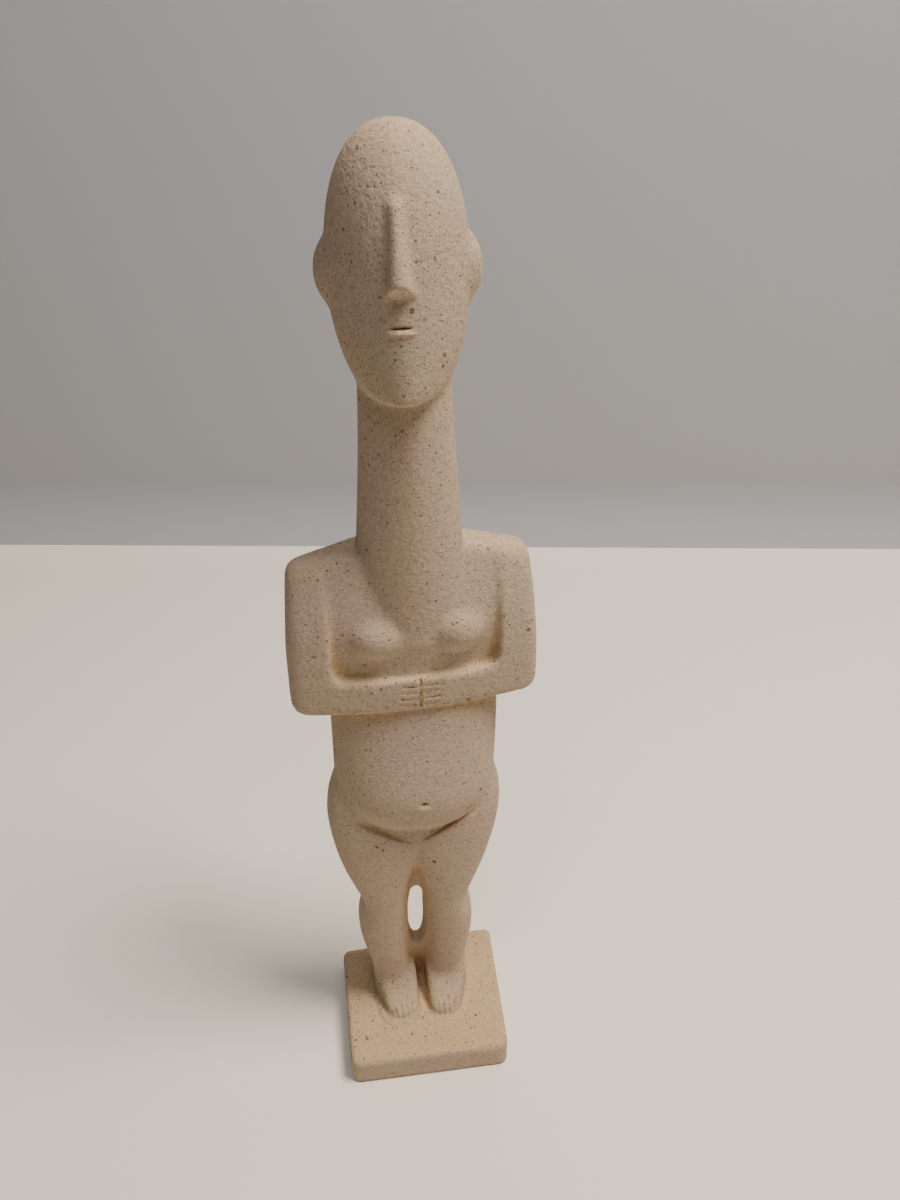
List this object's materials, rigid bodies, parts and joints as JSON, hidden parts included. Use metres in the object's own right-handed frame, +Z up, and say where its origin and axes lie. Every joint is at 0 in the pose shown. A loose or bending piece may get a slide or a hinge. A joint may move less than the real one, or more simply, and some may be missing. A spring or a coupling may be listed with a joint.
{
  "type": "cycladic figurine",
  "caption": "Cast-stone souvenir figurine of the early Cycladic kind: standing woman with a very long neck and folded arms, on a thin square base.",
  "frame": {"origin": "middle of the bounding box on the underside of the base", "axes": "+Z up along the figure, -Y towards the front of the figure, +X to the viewer's right"},
  "size_m": [0.05, 0.0352, 0.2072],
  "materials": {
    "cast_stone": "matt sandy cream cast stone with dark specks and fine pits, warmer ochre in the hollows"
  },
  "bodies": {
    "root": {"figurine": "cast_stone"}
  },
  "joints": []
}
